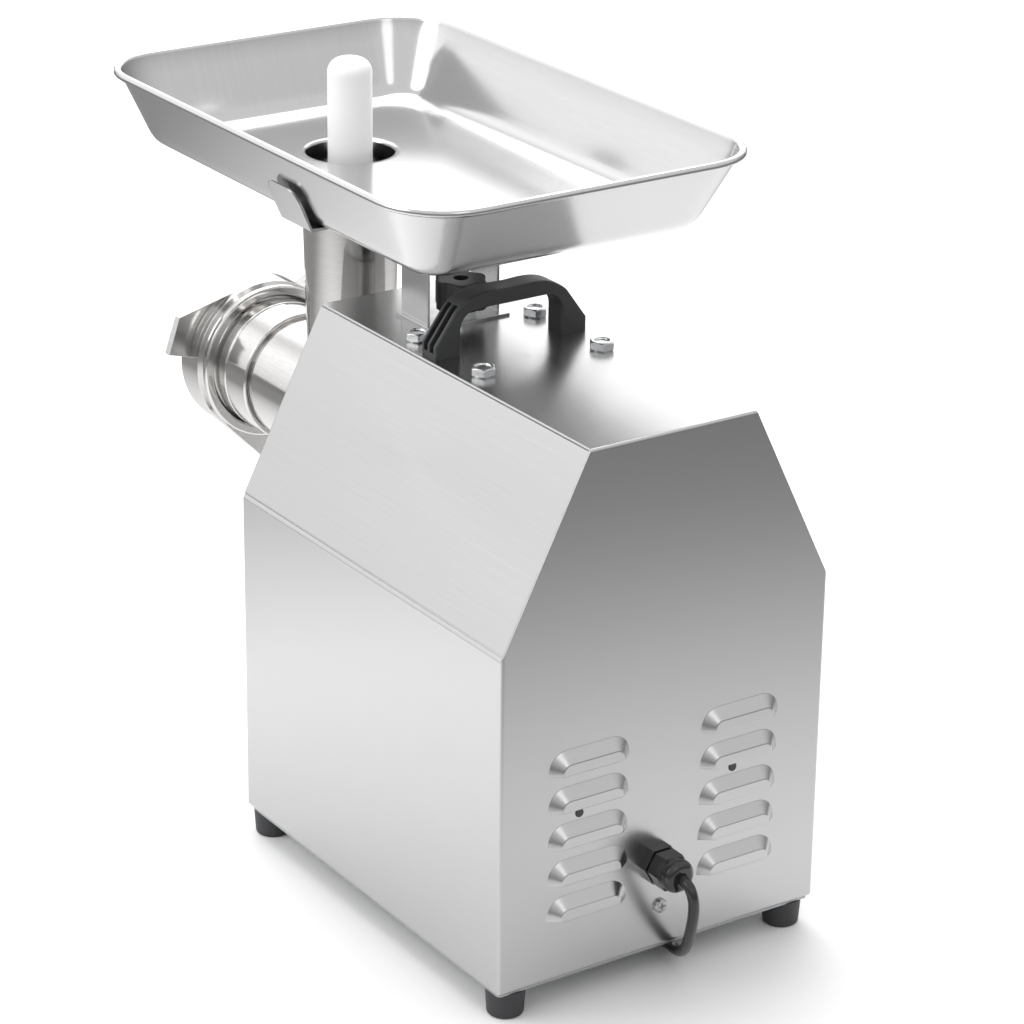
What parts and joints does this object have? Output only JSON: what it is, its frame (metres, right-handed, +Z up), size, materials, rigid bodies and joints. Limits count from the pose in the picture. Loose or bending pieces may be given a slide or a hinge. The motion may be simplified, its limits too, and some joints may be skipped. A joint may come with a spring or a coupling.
{
  "type": "electric meat grinder",
  "caption": "Table-top electric meat grinder: folded steel housing on rubber feet, removable horizontal head with screw ring, feed pan, pusher, carrying handle and mains lead.",
  "frame": {"origin": "middle of the footprint on the floor, measured without the cord", "axes": "+Z up, +Y towards the rear panel and its cable gland, -Y towards the discharge, +X to the grinder's right-hand cheek seen from the front"},
  "size_m": [0.237, 0.4997, 0.4594],
  "materials": {
    "brushed_steel": "brushed stainless sheet, satin",
    "base_steel": "galvanised sheet",
    "bracket_steel": "bright stainless sheet",
    "pan_steel": "pressed stainless sheet, satin polished",
    "polished_steel": "polished stainless casting",
    "plated_steel": "bright zinc plate",
    "foot_rubber": "matt black rubber",
    "black_plastic": "moulded, fine grain",
    "gloss_nylon": "gloss black nylon",
    "dark_rivet": "blackened",
    "red_plastic": "moulded",
    "cast_aluminium": "as cast",
    "seal_rubber": "moulded",
    "bearing_steel": "ground",
    "shaft_steel": "ground",
    "gear_steel": "machined, oiled",
    "auger_steel": "satin cast stainless",
    "lamination_steel": "stacked laminations",
    "fan_plastic": "moulded",
    "painted_frame": "dark enamel",
    "enamelled_copper": "enamelled wire",
    "capacitor_shell": "moulded case",
    "terminal_plastic": "moulded",
    "nylon_washer": "machined nylon",
    "white_plastic": "moulded polyethylene, slightly translucent",
    "cord_rubber": "gloss black sheath",
    "plug_brass": "bright"
  },
  "bodies": {
    "housing": {"body_shell": "brushed_steel", "slope_panel_right": "brushed_steel", "slope_panel_left": "brushed_steel", "front_panel": "brushed_steel", "base_plate": "base_steel", "base_screws": "plated_steel", "feet": "foot_rubber", "foot_screws": "plated_steel", "top_bolts": "plated_steel", "carry_handle": "black_plastic", "handle_screws": "plated_steel", "tray_bracket": "bracket_steel", "stud_bush": "plated_steel", "cable_gland": "gloss_nylon", "gland_locknut": "gloss_nylon", "panel_rivets": "dark_rivet", "earth_screw": "plated_steel", "switch_body": "gloss_nylon", "breaker_body": "black_plastic", "gearbox_case": "cast_aluminium", "gearbox_cover": "cast_aluminium", "head_socket": "cast_aluminium", "socket_bolts": "plated_steel", "oil_seal": "seal_rubber", "output_bearings": "bearing_steel", "layshaft_bearings": "bearing_steel", "motor_bearings": "bearing_steel", "motor_frame": "painted_frame", "motor_stator": "lamination_steel", "motor_windings": "enamelled_copper", "motor_end_shield": "cast_aluminium", "motor_tie_bolts": "plated_steel", "motor_cradle": "painted_frame", "capacitor": "capacitor_shell", "capacitor_clamp": "base_steel", "terminal_block": "terminal_plastic", "power_cord": "cord_rubber", "cord_coil": "cord_rubber", "plug_body": "cord_rubber", "plug_pins": "plug_brass"},
    "lock_knob": {"lock_knob": "black_plastic", "knob_stud": "plated_steel"},
    "switch_rocker": {"switch_rocker": "gloss_nylon"},
    "reset_button": {"reset_button": "red_plastic"},
    "output_drive": {"output_shaft": "shaft_steel", "output_gear": "gear_steel"},
    "layshaft": {"layshaft": "gear_steel", "lay_gear": "gear_steel"},
    "rotor": {"rotor_shaft": "gear_steel", "rotor_core": "lamination_steel", "cooling_fan": "fan_plastic"},
    "head": {"grinding_head": "polished_steel", "plate_pin": "shaft_steel"},
    "auger": {"auger": "auger_steel", "auger_washer": "nylon_washer", "knife": "gear_steel"},
    "cutting_plate": {"cutting_plate": "gear_steel"},
    "ring_nut": {"ring_nut": "polished_steel"},
    "feed_pan": {"feed_pan": "pan_steel"},
    "pusher": {"pusher": "white_plastic"}
  },
  "joints": [
    {"name": "head_slide", "type": "slide", "parent": "housing", "child": "head", "axis": [0, -1, 0], "range_m": [0, 0.105]},
    {"name": "pan_lift", "type": "slide", "parent": "head", "child": "feed_pan", "axis": [0, 0, 1], "range_m": [0, 0.06]},
    {"name": "pusher_lift", "type": "slide", "parent": "head", "child": "pusher", "axis": [0, 0, 1], "range_m": [0, 0.18]},
    {"name": "plate_slide", "type": "slide", "parent": "head", "child": "cutting_plate", "axis": [0, -1, 0], "range_m": [0, 0.008]},
    {"name": "ring_turn", "type": "hinge", "parent": "cutting_plate", "child": "ring_nut", "pos_m": [0, -0.2265, 0.2384], "axis": [0, -1, 0], "range_deg": [0, 720]},
    {"name": "output_spin", "type": "hinge", "parent": "housing", "child": "output_drive", "pos_m": [0, 0.06, 0.2384], "axis": [0, 1, 0], "continuous": true},
    {"name": "auger_spin", "type": "hinge", "parent": "head", "child": "auger", "pos_m": [0, -0.1, 0.2384], "axis": [0, 1, 0], "continuous": true},
    {"name": "layshaft_spin", "type": "hinge", "parent": "housing", "child": "layshaft", "pos_m": [0, 0.06, 0.1734], "axis": [0, 1, 0], "continuous": true},
    {"name": "rotor_spin", "type": "hinge", "parent": "housing", "child": "rotor", "pos_m": [0, 0.14, 0.1194], "axis": [0, 1, 0], "continuous": true},
    {"name": "knob_turn", "type": "hinge", "parent": "housing", "child": "lock_knob", "pos_m": [0, 0.00725, 0.34], "axis": [0, 0, 1], "range_deg": [0, 720]},
    {"name": "switch_rock", "type": "hinge", "parent": "housing", "child": "switch_rocker", "pos_m": [-0.104, -0.01575, 0.168], "axis": [0, 1, 0], "range_deg": [-8, 8]},
    {"name": "reset_press", "type": "slide", "parent": "housing", "child": "reset_button", "axis": [1, 0, 0], "range_m": [0, 0.002], "stiffness_N_per_m": 400}
  ],
  "couplings": [
    {"joint": "auger_spin", "follows": "output_spin", "ratio": 1},
    {"joint": "layshaft_spin", "follows": "output_spin", "ratio": -2.7143},
    {"joint": "rotor_spin", "follows": "output_spin", "ratio": 7.7551},
    {"joint": "plate_slide", "follows": "ring_turn", "m_per_rad": 0.00063662}
  ]
}
